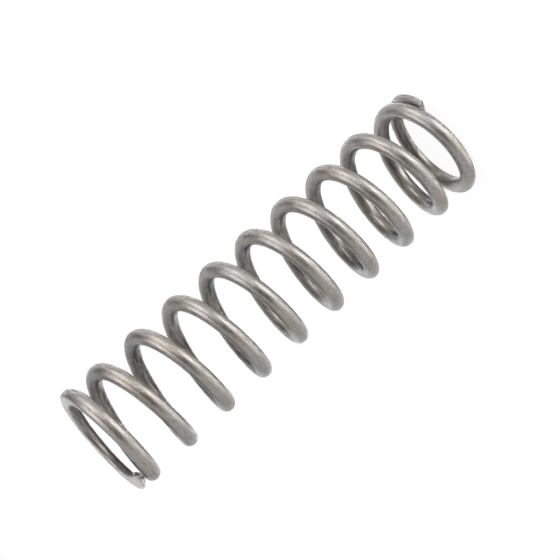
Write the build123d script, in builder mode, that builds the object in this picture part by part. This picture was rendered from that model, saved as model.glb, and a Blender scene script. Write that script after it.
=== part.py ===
from build123d import *
from math import cos, pi, sin, tau
import os

# Front fork spring, one piece: a compression coil of round steel wire, wound right-handed,
# with both end coils closed onto their neighbours and ground flat and square.
# It stands on its lower ground face at z = 0, with the coil's axis along +Z. Sizes are millimetres.

# Wire and coil
wire_diameter = 3.5
inside_diameter = 20.0
free_length = 102.5
total_turns = 10.69

# Lower end: the turns wound at the closed pitch, the turns in which the pitch opens to the active
# one, what grinding leaves of the wire at its tip, and how far the tip is tucked in
lower_closed_turns = 0.65
lower_opening_turns = 0.62
lower_tip_thickness = 1.55
lower_tip_tuck = 0.45

# Upper end, the same four
upper_closed_turns = 0.61
upper_opening_turns = 0.69
upper_tip_thickness = 1.35
upper_tip_tuck = 0.65

# Both ends: the gap between a tip and the coil that it closes onto, and the turns that the tuck takes
tip_gap = 0.15
tuck_turns = 0.25

# The centreline is one spline, through this many points in a turn
points_per_turn = 24

wire_radius = wire_diameter / 2
coil_radius = inside_diameter / 2 + wire_radius
closing_rise = wire_diameter + tip_gap

# Grinding takes more than half of the wire at a tip, so its centre lies outside the ground face
lower_tip_height = lower_tip_thickness - wire_radius
upper_tip_height = free_length - upper_tip_thickness + wire_radius


def opened(turns, closed_turns, opening_turns):
    """How many of an end's first turns count as open: none while closed, then a smooth start."""
    share = (turns - closed_turns) / opening_turns
    if share <= 0:
        return 0
    if share >= 1:
        return opening_turns * (share - 1 / 2)
    return opening_turns * (share**3 - share**4 / 2)


def closing_rises(closed_turns, opening_turns):
    """How many closing rises an end takes out of the height that the active pitch has to cover."""
    return (closed_turns + opening_turns / 2) / (1 - opened(1, closed_turns, opening_turns))


end_rises = closing_rises(lower_closed_turns, lower_opening_turns)
end_rises += closing_rises(upper_closed_turns, upper_opening_turns)
wound_height = upper_tip_height - lower_tip_height
active_pitch = (wound_height - end_rises * closing_rise) / (total_turns - end_rises)


def rise_from_tip(turns, closed_turns, opening_turns):
    """How far the wire has climbed from a tip. After one turn it clears the tip by the gap."""
    first_open = opened(1, closed_turns, opening_turns)
    closed_pitch = (closing_rise - active_pitch * first_open) / (1 - first_open)
    open_turns = opened(turns, closed_turns, opening_turns)
    return closed_pitch * (turns - open_turns) + active_pitch * open_turns


def radius_from_tip(turns, tip_tuck):
    """The coil's radius so far from a tip, which is tucked in."""
    return coil_radius - tip_tuck * max(0, 1 - turns / tuck_turns) ** 2


def wire_centre(turn):
    """The centre of the wire so many turns from the lower tip, which is at +X."""
    turns_left = total_turns - turn
    if turn < turns_left:
        radius = radius_from_tip(turn, lower_tip_tuck)
        height = lower_tip_height + rise_from_tip(turn, lower_closed_turns, lower_opening_turns)
    else:
        radius = radius_from_tip(turns_left, upper_tip_tuck)
        height = upper_tip_height - rise_from_tip(turns_left, upper_closed_turns, upper_opening_turns)
    return (radius * cos(tau * turn), radius * sin(tau * turn), height)


steps = round(total_turns * points_per_turn)

with BuildPart() as spring:
    with BuildLine():
        centreline = Spline(*[wire_centre(total_turns * step / steps) for step in range(steps + 1)])
    with BuildSketch(Plane(origin=centreline @ 0, x_dir=(1, 0, 0), z_dir=centreline % 0)):
        Circle(wire_radius)
    sweep(path=centreline, is_frenet=True)
    wound_volume = spring.part.volume
    # Both ends are ground off to the free length, which leaves the two flat seats
    split(bisect_by=Plane.XY, keep=Keep.TOP)
    split(bisect_by=Plane.XY.offset(free_length), keep=Keep.BOTTOM)

round_wire_volume = pi * wire_radius**2 * centreline.length
print("active pitch", round(active_pitch, 3), "mm, wire", round(centreline.length, 1), "mm long")
print("wound", round(wound_volume, 1), "mm3, round wire of that length", round(round_wire_volume, 1), "mm3")
print("after grinding", round(spring.part.volume, 1), "mm3, size", spring.part.bounding_box().size)

spring.part.label = "spring"
os.makedirs("parts", exist_ok=True)
export_step(spring.part, "parts/spring.step")
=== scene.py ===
# %% [markdown]
# # A front fork spring
#
# The real thing is one length of bare steel wire, wound right-handed into a coil. Its two end turns
# are closed onto their neighbours and ground flat, so that it stands square on either end. This
# script dresses the solid model of that spring. It builds the wire again with its true ground edges
# and sheared tips, and gives it three finishes: drawn steel along the wire, bright steel where a
# wheel has ground it, and rough steel where it was cut off.
#
# The solid model is the fixed frame. Everything here is in metres, in the frame's own axes: the
# coil stands on z = 0 with its axis along +Z, and its lower tip is at +X.

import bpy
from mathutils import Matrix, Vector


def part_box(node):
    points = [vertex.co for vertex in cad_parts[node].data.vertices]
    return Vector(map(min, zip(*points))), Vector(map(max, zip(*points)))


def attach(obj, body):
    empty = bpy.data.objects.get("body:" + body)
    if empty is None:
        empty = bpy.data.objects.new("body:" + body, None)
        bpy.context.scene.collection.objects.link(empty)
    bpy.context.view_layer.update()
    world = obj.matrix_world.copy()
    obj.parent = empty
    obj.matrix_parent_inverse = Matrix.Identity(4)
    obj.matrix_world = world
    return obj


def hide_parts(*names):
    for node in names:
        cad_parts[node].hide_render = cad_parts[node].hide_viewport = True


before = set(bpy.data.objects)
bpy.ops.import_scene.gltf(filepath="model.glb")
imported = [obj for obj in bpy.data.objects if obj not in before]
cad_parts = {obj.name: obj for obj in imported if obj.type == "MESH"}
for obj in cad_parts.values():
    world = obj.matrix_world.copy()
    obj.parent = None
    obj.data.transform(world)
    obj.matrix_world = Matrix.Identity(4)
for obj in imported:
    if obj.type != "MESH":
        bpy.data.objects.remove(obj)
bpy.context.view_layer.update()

# %% The libraries that the rest uses
from math import cos, pi, radians, sin, tan, tau

import bpy
from mathutils import Matrix, Vector

mm = 0.001
print("Blender", bpy.app.version_string)

# %% [markdown]
# ## The coil's sizes
#
# A wound spring is described by its wire, its coil and how its ends are finished. The free length
# and the outside diameter are read from the frame. The rest are the spring maker's own values: the
# turns, how long the pitch stays closed at each end, how it opens, and what grinding leaves of each
# tip.

# %% Sizes of the wire, the coil and its ends
low_corner, high_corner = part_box("spring")
free_length = high_corner.z - low_corner.z
outside_diameter = high_corner.x - low_corner.x

wire_radius = 3.5 * mm / 2
coil_radius = outside_diameter / 2 - wire_radius
total_turns = 10.69
tip_gap = 0.15 * mm
tuck_turns = 0.25

lower_end = dict(closed=0.65, opening=0.62, tip_thickness=1.55 * mm, tuck=0.45 * mm)
upper_end = dict(closed=0.61, opening=0.69, tip_thickness=1.35 * mm, tuck=0.65 * mm)

print(f"free length {free_length / mm:.2f} mm, outside diameter {outside_diameter / mm:.2f} mm")

# %% [markdown]
# ## The pitch
#
# After one turn the wire has to clear its own tip by a small gap, and all the turns together have
# to fill the free length. Those two conditions fix the pitch of the open turns and of both closed
# ends. The pitch opens along a smooth S, and `opened` is the area under that S: the turns that
# count as open.

# %% Pitches that fill the free length
def opened(turns, end):
    """How many of an end's first turns count as open."""
    share = min(max((turns - end["closed"]) / end["opening"], 0), 1)
    beyond = max(turns - end["closed"] - end["opening"], 0)
    return end["opening"] * (share**3 - share**4 / 2) + beyond


def closing_rises(end):
    """How many closing rises an end takes out of the height that the active pitch has to cover."""
    return (end["closed"] + end["opening"] / 2) / (1 - opened(1, end))


closing_rise = 2 * wire_radius + tip_gap
lower_end["centre"] = lower_end["tip_thickness"] - wire_radius
upper_end["centre"] = free_length - upper_end["tip_thickness"] + wire_radius
end_rises = closing_rises(lower_end) + closing_rises(upper_end)
wound_height = upper_end["centre"] - lower_end["centre"]
active_pitch = (wound_height - end_rises * closing_rise) / (total_turns - end_rises)
for end in (lower_end, upper_end):
    open_share = opened(1, end)
    end["pitch"] = (closing_rise - active_pitch * open_share) / (1 - open_share)

print(f"active pitch {active_pitch / mm:.3f} mm, closed pitches {lower_end['pitch'] / mm:.2f}",
      f"and {upper_end['pitch'] / mm:.2f} mm")

# %% [markdown]
# ## Writing node trees as sums
#
# Both the shape and the finishes are node trees, and most of their nodes are arithmetic. `Flow`
# wraps a socket, so that an ordinary expression such as `1 - mask` adds the Math nodes for it.
# `Nodes` wraps a tree and has one method that makes any other node: its settings are set first, and
# then its inputs get values or links.

# %% Flow: arithmetic on sockets
class Flow:
    """A value on its way along a link. Arithmetic on it adds Math nodes to its tree."""

    def __init__(self, nodes, socket):
        self.nodes, self.socket = nodes, socket

    def __add__(self, other):
        return self.nodes.math("ADD", self, other)

    def __sub__(self, other):
        return self.nodes.math("SUBTRACT", self, other)

    def __rsub__(self, other):
        return self.nodes.math("SUBTRACT", other, self)

    def __mul__(self, other):
        return self.nodes.math("MULTIPLY", self, other)

    def __truediv__(self, other):
        return self.nodes.math("DIVIDE", self, other)

    def __pow__(self, other):
        return self.nodes.math("POWER", self, other)

    __radd__, __rmul__ = __add__, __mul__


print(Flow.__doc__)

# %% Nodes: one method for any node
class Nodes:
    """A node tree. add() makes one node and returns it, or the flow out of the output asked for."""

    def __init__(self, tree):
        self.tree = tree

    def add(self, kind, settings=None, sockets=None, out=None):
        node = self.tree.nodes.new(kind)
        for name, value in (settings or {}).items():
            setattr(node, name, value)
        for name, value in (sockets or {}).items():
            if isinstance(value, Flow):
                self.tree.links.new(value.socket, node.inputs[name])
            else:
                node.inputs[name].default_value = value
        return node if out is None else Flow(self, node.outputs[out])

    def math(self, operation, *values):
        return self.add("ShaderNodeMath", {"operation": operation}, dict(enumerate(values)), 0)

    def root(self, value):
        return self.math("SQRT", value)

    def least(self, one, other):
        return self.math("MINIMUM", one, other)

    def most(self, one, other):
        return self.math("MAXIMUM", one, other)

    def between(self, value, low=0, high=1):
        return self.least(self.most(value, low), high)


print(Nodes.__doc__)

# %% [markdown]
# ## The wire as a rolled-up sheet
#
# The coil follows a rule, so Geometry Nodes build it. A flat grid has one row of points for each
# place along the wire and one column for each place around it. The tree works out where each point
# belongs and sets it there. The grid's long edges meet and are merged, and its first and last rows
# shrink to a point, which closes the tips.
#
# A plain sweep would blur the ground edges, because grinding cuts a round section with a flat
# plane. Here each section has its corners exactly on that plane. Around the wire, the points go
# from the bottom to the top on both sides: a belly, a corner, a flank, a corner and a belly. Where
# a plane cuts the wire, the belly lies flat on it and the corner gets a small broken edge. Where
# none does, the points are spread evenly, and the belly and the corner have their natural angles.

# %% The section's points, and how finely the wire is divided
belly_steps = 8
flank_steps = 6
side_steps = 2 * belly_steps + 2 + flank_steps
rows_per_turn = 160
tip_rows = 10

natural_belly = belly_steps * pi / side_steps
natural_corner = pi / side_steps
tube_rows = round(total_turns * rows_per_turn)
grid_rows = tube_rows + 2 * tip_rows
print(f"{grid_rows} rows of {2 * side_steps} faces")

# %% The tree's named inputs
coil_tree = bpy.data.node_groups.new("wound_wire", "GeometryNodeTree")
coil_inputs = {
    "Wire Radius": wire_radius,
    "Coil Radius": coil_radius,
    "Free Length": free_length,
    "Turns": total_turns,
    "Active Pitch": active_pitch,
    "Tuck Turns": tuck_turns,
    "Broken Edge": 0.18 * mm,
    "Roll Over": 0.2 * mm,
    "Shear Roughness": 0.25 * mm,
    "Burr": 0.1 * mm,
    "Seed": 4.0,
}
for label, end in (("Lower", lower_end), ("Upper", upper_end)):
    for name in ("closed", "opening", "pitch", "centre", "tuck"):
        coil_inputs[f"{label} {name.title()}"] = end[name]
for name, value in coil_inputs.items():
    socket = coil_tree.interface.new_socket(name, in_out="INPUT", socket_type="NodeSocketFloat")
    socket.default_value = value
coil_tree.interface.new_socket("Geometry", in_out="OUTPUT", socket_type="NodeSocketGeometry")

g = Nodes(coil_tree)
group_input = g.add("NodeGroupInput")
given = {name: Flow(g, group_input.outputs[name]) for name in coil_inputs}
r, length, turns = given["Wire Radius"], given["Free Length"], given["Turns"]


def tell(step):
    """Says how far the tree has grown."""
    print(f"{step}: {len(coil_tree.nodes)} nodes in the tree")


print(coil_tree.name, "has", len(coil_inputs), "inputs")

# %% [markdown]
# ### Where a point is along the wire
#
# The row says how many turns up the wire a point is. The rule is the same at both ends, counted
# from the nearer tip, so the tree picks that end's values and works the rule out once.

# %% Height, radius and slope of the wire at each row
grid = g.add("GeometryNodeMeshGrid", {}, {
    "Size X": float(grid_rows), "Size Y": float(2 * side_steps),
    "Vertices X": grid_rows + 1, "Vertices Y": 2 * side_steps + 1})
place = g.add("ShaderNodeSeparateXYZ", {}, {0: g.add("GeometryNodeInputPosition", out=0)})
row = Flow(g, place.outputs["X"]) + grid_rows / 2
around = Flow(g, place.outputs["Y"])

turn = g.between((row - tip_rows) / tube_rows) * turns
is_upper = g.math("GREATER_THAN", turn, turns / 2)


def at_this_end(name):
    """The nearer end's value."""
    return g.add("GeometryNodeSwitch", {"input_type": "FLOAT"}, {
        "Switch": is_upper, "False": given[f"Lower {name}"], "True": given[f"Upper {name}"]}, 0)


from_tip = g.least(turn, turns - turn)
closed_turns, opening_turns = at_this_end("Closed"), at_this_end("Opening")
share = g.between((from_tip - closed_turns) / opening_turns)
beyond = g.most(from_tip - closed_turns - opening_turns, 0)
open_turns = opening_turns * (share**3 - share**4 * 0.5) + beyond
open_now = share**2 * (3 - share * 2)

closed_pitch, active = at_this_end("Pitch"), given["Active Pitch"]
climb = closed_pitch * (from_tip - open_turns) + active * open_turns
slope = closed_pitch * (1 - open_now) + active * open_now
centre_height = at_this_end("Centre") + climb * (1 - is_upper * 2)
tucked_in = at_this_end("Tuck") * g.most(1 - from_tip / given["Tuck Turns"], 0) ** 2
radius = given["Coil Radius"] - tucked_in

run = radius * tau
step_length = g.root(run**2 + slope**2)
level, steep = run / step_length, slope / step_length
tell("the wire's course")

# %% [markdown]
# ### Where a point is around the wire
#
# `depth` is how far the wire's centre lies from a ground plane, along the section. Where it is less
# than the wire's radius, the plane cuts the section, and the cut's half angle follows from it. Just
# past the end of a cut the corner angle widens until the points are spread evenly again.
# `least_angle` keeps the points apart where a cut begins, and `spread_rate` says how fast they
# spread.

# %% Corners of the section at the lower and the upper plane
least_angle = 0.03
spread_rate = 6


def cut_by_plane(depth):
    """The angle at which the round flank starts past a corner, and the half width of the belly."""
    half_angle = g.math("ARCCOSINE", g.between(depth / r, -1, 1))
    spread = g.between(g.root(g.most(depth / r - 1, 0) * spread_rate))
    first = g.most(half_angle, least_angle) * (1 - spread) + natural_belly * spread
    edge = given["Broken Edge"] * (1 - spread)
    second = first + edge / r + natural_corner * spread
    half_width = r * g.math("SINE", first)
    return second, half_width - g.least(edge, half_width * 0.5)


below = centre_height / level
above = (length - centre_height) / level
lower_corner, lower_belly = cut_by_plane(below)
upper_corner, upper_belly = cut_by_plane(above)
tell("corners")

# %% Points of the belly, the flank and the top of the section
step = g.math("ABSOLUTE", around)
outward = g.math("SIGN", around)


def on_belly(steps_from_middle, half_width, depth):
    """A point of a belly: on the round wire, or on the plane where that comes first."""
    aside = half_width * (steps_from_middle / belly_steps)
    return aside, g.least(g.root(r**2 - aside**2), depth)


bottom_aside, bottom_depth = on_belly(step, lower_belly, below)
top_aside, top_height = on_belly(side_steps - step, upper_belly, above)
flank = (step - belly_steps - 1) / flank_steps
angle = lower_corner + (pi - upper_corner - lower_corner) * flank

is_bottom = g.math("LESS_THAN", step, belly_steps + 0.5)
is_top = g.math("GREATER_THAN", step, side_steps - belly_steps - 0.5)
is_flank = 1 - is_bottom - is_top
aside = bottom_aside * is_bottom + top_aside * is_top + r * g.math("SINE", angle) * is_flank
height = top_height * is_top - bottom_depth * is_bottom - r * g.math("COSINE", angle) * is_flank
tell("section")

# %% [markdown]
# ### The sheared tips
#
# The wire was cut off by a shear, which leaves a torn face and rolls its rim over, with a small
# burr here and there. The rows of a tip shrink towards the middle of the cut section. Near the rim
# they fall back along a quarter circle, and noise lifts and sinks them along the wire. Noise mostly
# stays within 0.2 of its middle, so a gain brings it up to the height that the tree's inputs ask
# for. It has a fixed seed, so the tips are the same each time.

# %% Tip rows: how far in they lie, and their torn relief
rows_from_end = g.least(row, grid_rows - row)
across = g.between(rows_from_end / tip_rows)
middle = (g.least(above, r) - g.least(below, r)) * 0.5
aside = aside * outward * across
height = middle + (height - middle) * across

along = turn * coil_radius * tau
straight = g.add("ShaderNodeCombineXYZ", {}, {"X": aside, "Y": height, "Z": along}, 0)

tear_scale, tear_gain = 1100, 2
burr_scale, burr_gain = 700, 6
rim_rows_inward, rim_rows_outward = 3, 2


def torn(scale, detail):
    """Noise over the straight wire, about zero."""
    return g.add("ShaderNodeTexNoise", {"noise_dimensions": "4D"}, {
        "Vector": straight, "W": given["Seed"], "Scale": scale, "Detail": detail}, 0) - 0.5


up_to_rim = g.math("LESS_THAN", rows_from_end, tip_rows + 0.5)
past_face = g.math("GREATER_THAN", rows_from_end, tip_rows - 0.5)
from_rim_inward = g.between(rows_from_end - tip_rows + rim_rows_inward)
at_rim = from_rim_inward * g.between(tip_rows + rim_rows_outward - rows_from_end)

rolled = given["Roll Over"]
near_rim = g.between((across - 1) * r / rolled + 1)
roll_over = rolled * (1 - g.root(1 - near_rim**2)) * up_to_rim
relief = torn(tear_scale, 3) * given["Shear Roughness"] * tear_gain * (1 - past_face)
relief = relief + g.most(torn(burr_scale, 1), 0) * given["Burr"] * burr_gain * at_rim - roll_over
lengthwise = relief * (is_upper * 2 - 1)
tell("tips")

# %% [markdown]
# ### Winding it up
#
# A point's place in the section is turned into the coil: `aside` along the radius, `height` square
# to the sloping wire, and the tips' relief along the wire.

# %% Place each point in the wound coil
bearing = turn * tau
cosine, sine = g.math("COSINE", bearing), g.math("SINE", bearing)
outer = radius + aside
forward = lengthwise * level - height * steep
wound = g.add("ShaderNodeCombineXYZ", {}, {
    "X": outer * cosine - forward * sine,
    "Y": outer * sine + forward * cosine,
    "Z": g.between(centre_height + height * level + lengthwise * steep, 0, length)}, 0)
tell("winding")

# %% [markdown]
# ## Three finishes, made empty first
#
# The tree hands out the materials, so they have to exist before it runs. They get their nodes
# later.

# %% Materials by name
finishes = {}
for name in ("drawn_steel", "ground_steel", "sheared_steel"):
    finishes[name] = bpy.data.materials.new(name)
    finishes[name].use_nodes = True
print("finishes:", ", ".join(finishes))

# %% [markdown]
# ## From the grid to the wire
#
# While the grid is still flat, the tree stores two things on it: a UV map, which an export needs to
# bake the finishes, and `straight`, each point's place in the wire before winding, which the
# finishes read. It also hands out the materials there, because the rows and columns say which faces
# are ground or sheared. Then every point goes to its place in the coil, and merging closes the seam
# along the wire and the two tips. Faces are shaded smooth, except across a crease.

# %% Which faces are ground, and which are sheared
def is_on(value):
    """A mask of points as a true or false field."""
    return g.add("FunctionNodeCompare", {"operation": "GREATER_THAN"}, {"A": value, "B": 0.5}, 0)


is_cut_below = is_bottom * g.math("LESS_THAN", below, r)
is_cut_above = is_top * g.math("LESS_THAN", above, r)
is_ground = is_on((is_cut_below + is_cut_above) * past_face)
is_tip = is_on(up_to_rim)
tell("masks")

# %% Store, hand out, place, merge and shade
merge_distance = 0.001 * mm
crease_angle = 0.5


def stored(geometry, name, kind, domain, value):
    """The geometry with a value kept on it by name."""
    return g.add("GeometryNodeStoreNamedAttribute", {"data_type": kind, "domain": domain}, {
        "Geometry": geometry, "Name": name, "Value": value}, 0)


def finished(geometry, selection, material):
    """The geometry with a material on the selected faces."""
    return g.add("GeometryNodeSetMaterial", {}, {
        "Geometry": geometry, "Selection": selection, "Material": material}, 0)


mesh = Flow(g, grid.outputs["Mesh"])
mesh = stored(mesh, "UVMap", "FLOAT2", "CORNER", Flow(g, grid.outputs["UV Map"]))
mesh = stored(mesh, "straight", "FLOAT_VECTOR", "POINT", straight)
mesh = finished(mesh, True, finishes["drawn_steel"])
mesh = finished(mesh, is_ground, finishes["ground_steel"])
mesh = finished(mesh, is_tip, finishes["sheared_steel"])
mesh = g.add("GeometryNodeSetPosition", {}, {"Geometry": mesh, "Position": wound}, 0)
mesh = g.add("GeometryNodeMergeByDistance", {}, {"Geometry": mesh, "Distance": merge_distance}, 0)
crease = g.add("GeometryNodeInputMeshEdgeAngle", out="Unsigned Angle")
is_crease = g.add("FunctionNodeCompare", {"operation": "GREATER_THAN"}, {
    "A": crease, "B": crease_angle}, 0)
mesh = g.add("GeometryNodeSetShadeSmooth", {"domain": "FACE"}, {"Geometry": mesh}, 0)
mesh = g.add("GeometryNodeSetShadeSmooth", {"domain": "EDGE"}, {
    "Geometry": mesh, "Selection": is_crease, "Shade Smooth": False}, 0)
mesh = g.add("GeometryNodeRealizeInstances", {}, {"Geometry": mesh}, 0)
g.add("NodeGroupOutput", {}, {"Geometry": mesh})
tell("finished")

# %% [markdown]
# ## The coil as a plain mesh
#
# The tree runs on an empty mesh. Its result is copied to a plain mesh and the modifier goes,
# because the frame takes finished pieces. Any empty material slot goes too. The piece stands in for
# the solid model's one node.

# %% Run the tree and keep its result
def made_by(tree, name, values):
    """A new object that holds what the tree makes, as a plain mesh at the origin."""
    piece = bpy.data.objects.new(name, bpy.data.meshes.new(name))
    bpy.context.scene.collection.objects.link(piece)
    modifier = piece.modifiers.new(name, "NODES")
    modifier.node_group = tree
    for item in tree.interface.items_tree:
        if item.in_out == "INPUT" and item.name in values:
            modifier[item.identifier] = values[item.name]
    evaluated = piece.evaluated_get(bpy.context.evaluated_depsgraph_get())
    result = bpy.data.meshes.new_from_object(evaluated)
    piece.modifiers.clear()
    piece.data = result
    while None in result.materials[:]:
        result.materials.pop(index=result.materials[:].index(None))
    return piece


coil = made_by(coil_tree, "coil", coil_inputs)
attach(coil, "root")
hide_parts("spring")
coil.data.calc_loop_triangles()
print(len(coil.data.vertices), "points,", len(coil.data.loop_triangles), "triangles,",
      len(coil.data.materials), "materials")

# %% [markdown]
# ## What the finishes share
#
# Bare steel is a metal all over, so the finishes differ in colour, roughness and the small relief
# of the surface. Each one is a few noises put together. `blend` mixes two colours, `noise` is one
# noise about 0.5, and `contrast` spreads it out around its middle. A polished metal turns white
# where it is seen almost edge-on. A rough one does so much less, so `edge_tint` holds that back. It
# is a little cool, except on ground steel, which the camera sees almost edge-on and which gets
# less.

# %% Noises and blends for the finishes
def blend(n, low_colour, high_colour, share):
    """The low colour where the share is 0, and the high one where it is 1."""
    return n.add("ShaderNodeMix", {"data_type": "RGBA"}, {
        0: share, 6: low_colour, 7: high_colour}, 2)


def noise(n, vector, size, detail=2.0):
    """Noise with patches of about this size, in metres."""
    return n.add("ShaderNodeTexNoise", {}, {
        "Vector": vector, "Scale": 1 / size, "Detail": detail}, 0)


def contrast(n, value, gain):
    """A value spread out around a half, and kept from 0 to 1."""
    return n.between((value - 0.5) * gain + 0.5)


def stretched(n, vector, factors):
    """A place multiplied on each axis. A noise read there is longer where the factor is under 1."""
    return n.add("ShaderNodeVectorMath", {"operation": "MULTIPLY"}, {0: vector, 1: factors}, 0)


def grey(level, warmth=0.0):
    """A grey of this level, warmer where warmth is above 0 and cooler where it is below."""
    return (level * (1 + warmth), level, level * (1 - warmth), 1)


print("a warm grey:", [round(c, 3) for c in grey(0.4, 0.1)])

# %% One way to join up a finish
def finish(name, colour, roughness, relief, relief_depth, edge_tint=grey(0.42, -0.08)):
    """Joins a finish's colour, roughness and relief to its shader."""
    tree = finishes[name].node_tree
    n = colour.nodes
    shader = tree.nodes["Principled BSDF"]
    shader.inputs["Metallic"].default_value = 1
    shader.inputs["Specular Tint"].default_value = edge_tint
    bump = n.add("ShaderNodeBump", {}, {"Height": relief, "Distance": relief_depth}, 0)
    for socket, value in (("Base Color", colour), ("Roughness", roughness), ("Normal", bump)):
        tree.links.new(value.socket, shader.inputs[socket])
    print(name, "has", len(tree.nodes), "nodes")


# %% [markdown]
# ## Drawn steel
#
# The wire was pulled through a die and the wound coil was shot-peened. The die leaves fine lines
# along the wire, and the shot leaves small dents and a mottled grain over them. The lines have to
# follow the wire around the coil, so this finish reads `straight`, each point's place in the wire
# before it was wound, and stretches noise along it. Some patches are a little browner than others.
# The shot reaches the inside of the coil less, so the wire is smoother there. The inside also gets
# darker, more streaked colours of its own: painted shade where the coil shades itself.

# %% Drawn steel
n = Nodes(finishes["drawn_steel"].node_tree)
in_wire = n.add("ShaderNodeAttribute", {"attribute_name": "straight"}, out="Vector")
die_lines = noise(n, stretched(n, in_wire, (1, 1, 0.15)), 0.3 * mm, 3)
grain = noise(n, in_wire, 0.35 * mm, 3)
dents = noise(n, in_wire, 0.9 * mm, 2)
patches = noise(n, stretched(n, in_wire, (1, 1, 0.4)), 3.2 * mm, 2)

shade = contrast(n, die_lines * 0.4 + grain * 0.45 + dents * 0.15, 4)
brown_patch = blend(n, grey(0.2, 0.12), grey(0.365, 0.09), shade)
plain_patch = blend(n, grey(0.21, 0.04), grey(0.37, 0.035), shade)
colour = blend(n, brown_patch, plain_patch, contrast(n, patches * 0.6 + grain * 0.4, 5))

aside = Flow(n, n.add("ShaderNodeSeparateXYZ", {}, {0: in_wire}).outputs["X"])
# A mask of the inside of the coil. It paints shade there and smooths the relief.
inside_shade_and_smoothing = n.between(aside * (-1 / wire_radius) * 1.2)
streaks = contrast(n, die_lines * 0.5 + patches * 0.5, 4)
# Painted shade: darker colours on the inside of the coil.
colour = blend(n, colour, blend(n, grey(0.097, 0.03), grey(0.292, 0.1), streaks), inside_shade_and_smoothing)
roughness = 0.35 + shade * 0.1 - inside_shade_and_smoothing * 0.06
relief = (die_lines * 0.25 + grain * 0.9 + dents * 0.3) * (1 - inside_shade_and_smoothing * 0.7)
finish("drawn_steel", colour, roughness, relief, relief_depth=0.05 * mm)

# %% [markdown]
# ## Ground steel
#
# A wheel has cut both ends flat. The face is brighter and cooler than the wire, and its fine marks
# all run one way across it, so this finish stretches noise along one direction of the object's own
# space.

# %% Ground steel
n = Nodes(finishes["ground_steel"].node_tree)
in_coil = n.add("ShaderNodeTexCoord", out="Object")
turned = n.add("ShaderNodeMapping", {}, {"Vector": in_coil, "Rotation": (0, 0, radians(35))}, 0)
marks = noise(n, stretched(n, turned, (0.05, 1, 1)), 0.09 * mm, 3)
shade = noise(n, in_coil, 1.6 * mm, 2)
colour = blend(n, grey(0.36), grey(0.48), contrast(n, marks * 0.6 + shade * 0.4, 4))
roughness = 0.24 + contrast(n, marks, 2) * 0.12
finish("ground_steel", colour, roughness, marks, relief_depth=0.02 * mm, edge_tint=grey(0.3, 0.02))

# %% [markdown]
# ## Sheared steel
#
# The cut-off faces are torn, dull and uneven. They are only as wide as the wire, so one noise is
# enough: it sets colour, roughness and relief together. Its colour paints shade, nearly black, into
# the low spots and a highlight onto the high spots.

# %% Sheared steel
n = Nodes(finishes["sheared_steel"].node_tree)
in_wire = n.add("ShaderNodeAttribute", {"attribute_name": "straight"}, out="Vector")
lumps = noise(n, in_wire, 0.6 * mm, 3)
# Painted shade in the low spots and a painted highlight on the high spots.
colour = blend(n, grey(0.05, 0.15), grey(0.55, 0.03), contrast(n, lumps, 5))
roughness = 0.3 + contrast(n, lumps, 2) * 0.25
finish("sheared_steel", colour, roughness, lumps, relief_depth=0.12 * mm)

# %% [markdown]
# ## The floor and the white studio
#
# The photograph shows the spring on plain white, with a faint shadow where it stands. The floor is
# one large face of matt paper. The picture needs it pure white without more light on the spring, so
# the paper also glows, but only on the rays that show it as background: Light Path picks them out.
# A small share of it stays matt there, and keeps the spring's own shadow. The floor itself casts
# none, because lamps shine up through it. The room is the world, made the same way: one strength
# lights the spring and the other shows as background, where 1 is white.

# %% Floor
floor_half = 6.0

floor_mesh = bpy.data.meshes.new("floor")
floor_mesh.from_pydata(
    [(-floor_half, -floor_half, 0), (floor_half, -floor_half, 0),
     (floor_half, floor_half, 0), (-floor_half, floor_half, 0)], [], [(0, 1, 2, 3)])
floor = bpy.data.objects.new("floor", floor_mesh)
bpy.context.scene.collection.objects.link(floor)
floor.visible_shadow = False
print(f"floor: {2 * floor_half:.0f} m square")

# %% White paper
paper_white = 0.93
glow_share = 0.93


def seen_directly(nodes):
    """1 on rays that show the background: from the camera, in a reflection or through glass."""
    path = nodes.add("ShaderNodeLightPath")
    kinds = ("Camera", "Glossy", "Transmission")
    rays = [Flow(nodes, path.outputs[f"Is {kind} Ray"]) for kind in kinds]
    return nodes.between(rays[0] + rays[1] + rays[2])


paper = bpy.data.materials.new("studio_paper")
paper.use_nodes = True
paper.node_tree.nodes.clear()
n = Nodes(paper.node_tree)
matt = n.add("ShaderNodeBsdfDiffuse", {}, {"Color": grey(paper_white)}, 0)
glow = n.add("ShaderNodeEmission", {}, {"Color": (1, 1, 1, 1), "Strength": 1.0}, 0)
mix = n.add("ShaderNodeMixShader", {}, {0: seen_directly(n) * glow_share, 1: matt, 2: glow}, 0)
n.add("ShaderNodeOutputMaterial", {}, {"Surface": mix})
floor_mesh.materials.append(paper)
print(paper.name, "has", len(paper.node_tree.nodes), "nodes")

# %% White room
room_light = 1.0

world = bpy.data.worlds.new("studio")
bpy.context.scene.world = world
world.use_nodes = True
world.node_tree.nodes.clear()
n = Nodes(world.node_tree)
light = n.add("ShaderNodeBackground", {}, {"Color": (1, 1, 1, 1), "Strength": room_light}, 0)
white = n.add("ShaderNodeBackground", {}, {"Color": (1, 1, 1, 1), "Strength": 1.0}, 0)
mix = n.add("ShaderNodeMixShader", {}, {0: seen_directly(n), 1: light, 2: white}, 0)
n.add("ShaderNodeOutputWorld", {}, {"Surface": mix})
print(world.name, "has", len(world.node_tree.nodes), "nodes")

# %% [markdown]
# ## The camera
#
# The photograph looks down on the coil from about 16 degrees above its ground face, with the camera
# rolled so far that the coil's top points to the picture's lower left. The lens and distance come
# from how much the near end of the coil outgrows the far one.

# %% Camera
sight_bearing = radians(-40.61)
sight_height = radians(16.34)
sight_roll = radians(-132.23)
sight_distance = 391.8 * mm
sight_aside = Vector((-1.217, -1.399)) * mm
aimed_at = Vector((0, 0, 51.34 * mm))
lens_mm = 114.99

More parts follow.
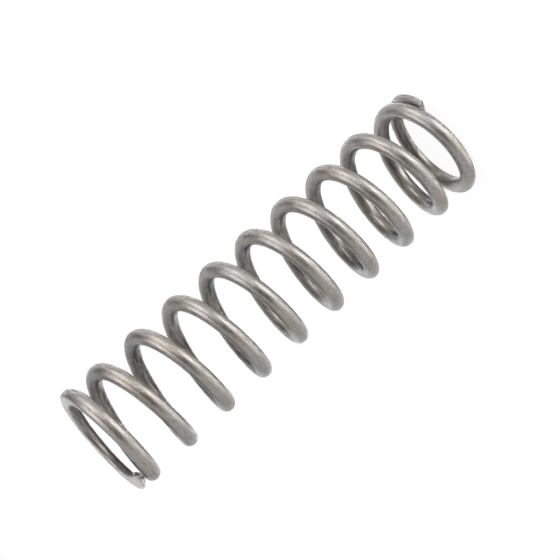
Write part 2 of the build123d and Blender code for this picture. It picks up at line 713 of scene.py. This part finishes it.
camera_data = bpy.data.cameras.new("camera")
camera_data.lens = lens_mm
camera = bpy.data.objects.new("camera", camera_data)
bpy.context.scene.collection.objects.link(camera)
turned = Matrix.Rotation(sight_bearing + pi / 2, 4, "Z")
turned = turned @ Matrix.Rotation(pi / 2 - sight_height, 4, "X")
turned = turned @ Matrix.Rotation(sight_roll, 4, "Z")
back_off = Vector((-sight_aside.x, -sight_aside.y, sight_distance))
camera.matrix_world = Matrix.Translation(aimed_at + turned.to_3x3() @ back_off) @ turned
bpy.context.scene.camera = camera
print("camera at", [round(c / mm, 1) for c in camera.matrix_world.translation])

# %% [markdown]
# ## Lamps and black cards
#
# Round wire mirrors the whole studio in a narrow strip, so what stands around the coil matters more
# than how strong the lamps are. Two strong softboxes draw the bright lines along the wire, and
# wider ones fill in around them. Some stand lower than the coil and shine up through the floor, as
# on a light table: the floor casts no shadow, and the lamps are sampled directly, so that it
# doesn't hide them. Everything is aimed at the middle of the coil. The one above is a little
# warmer, which browns the bright line along the upper side of the wire.

# %% Softboxes
def facing_coil(bearing, height, distance):
    """A place so many degrees round and above the coil, turned to look at its middle."""
    aim = Matrix.Rotation(radians(bearing + 90), 4, "Z")
    aim = aim @ Matrix.Rotation(radians(90 - height), 4, "X")
    return Matrix.Translation(aimed_at + aim.to_3x3() @ Vector((0, 0, distance))) @ aim


lamp_distance = 0.8


def softbox(name, bearing, height, spread, brightness, warmth=0.0):
    """A round lamp, seen from the coil as this many degrees wide each way, against white as 1."""
    data = bpy.data.lights.new(name, "AREA")
    lamp_radius = lamp_distance * tan(radians(spread))
    data.shape, data.size = "DISK", 2 * lamp_radius
    data.energy = brightness * pi * lamp_radius**2 * pi
    data.color = grey(1, warmth)[:3]
    data.cycles.use_multiple_importance_sampling = False
    lamp = bpy.data.objects.new(name, data)
    bpy.context.scene.collection.objects.link(lamp)
    lamp.visible_camera = False
    lamp.matrix_world = facing_coil(bearing, height, lamp_distance)
    print(f"{name}: {2 * lamp_radius:.2f} m across, {data.energy:.1f} W")


softbox("key", -28, -35, 16, 5.1)
softbox("top", 40, 61, 15, 3.8, 0.03)
softbox("side", 26, 5, 18, 2.8)
softbox("front", -2, 18, 18, 1.1)
softbox("back", 134, -22, 48, 2.3)
softbox("under", -86, -54, 36, 1.1)

# %% [markdown]
# Bare metal looks flat in an all-white studio. A photographer stands black cards where the metal
# should mirror something dark. Here one is round the camera and one behind the coil's left side.
# Only reflections see them, and they cast no shadow.

# %% Black cards
card_distance = 0.45
card_corners = 48

cloth = bpy.data.materials.new("black_cloth")
cloth.use_nodes = True
cloth.node_tree.nodes.clear()
n = Nodes(cloth.node_tree)
black = n.add("ShaderNodeBsdfDiffuse", {}, {"Color": grey(0.05)}, 0)
n.add("ShaderNodeOutputMaterial", {}, {"Surface": black})


def black_card(name, bearing, height, spread):
    """A round card, seen from the coil as this many degrees wide each way."""
    card_radius = card_distance * tan(radians(spread))
    corners = [tau * k / card_corners for k in range(card_corners)]
    mesh = bpy.data.meshes.new(name)
    mesh.from_pydata([(card_radius * cos(a), card_radius * sin(a), 0) for a in corners],
                     [], [range(card_corners)])
    mesh.transform(facing_coil(bearing, height, card_distance))
    mesh.materials.append(cloth)
    card = bpy.data.objects.new(name, mesh)
    bpy.context.scene.collection.objects.link(card)
    card.visible_camera = card.visible_diffuse = card.visible_shadow = False
    print(f"{name}: {2 * card_radius:.2f} m across")


black_card("card_at_camera", -37, 30, 31)
black_card("card_at_left", 82, 36, 20)

# %% [markdown] ## The view The Standard view shows colours as they are written.

# %% Standard view
bpy.context.scene.view_settings.view_transform = "Standard"
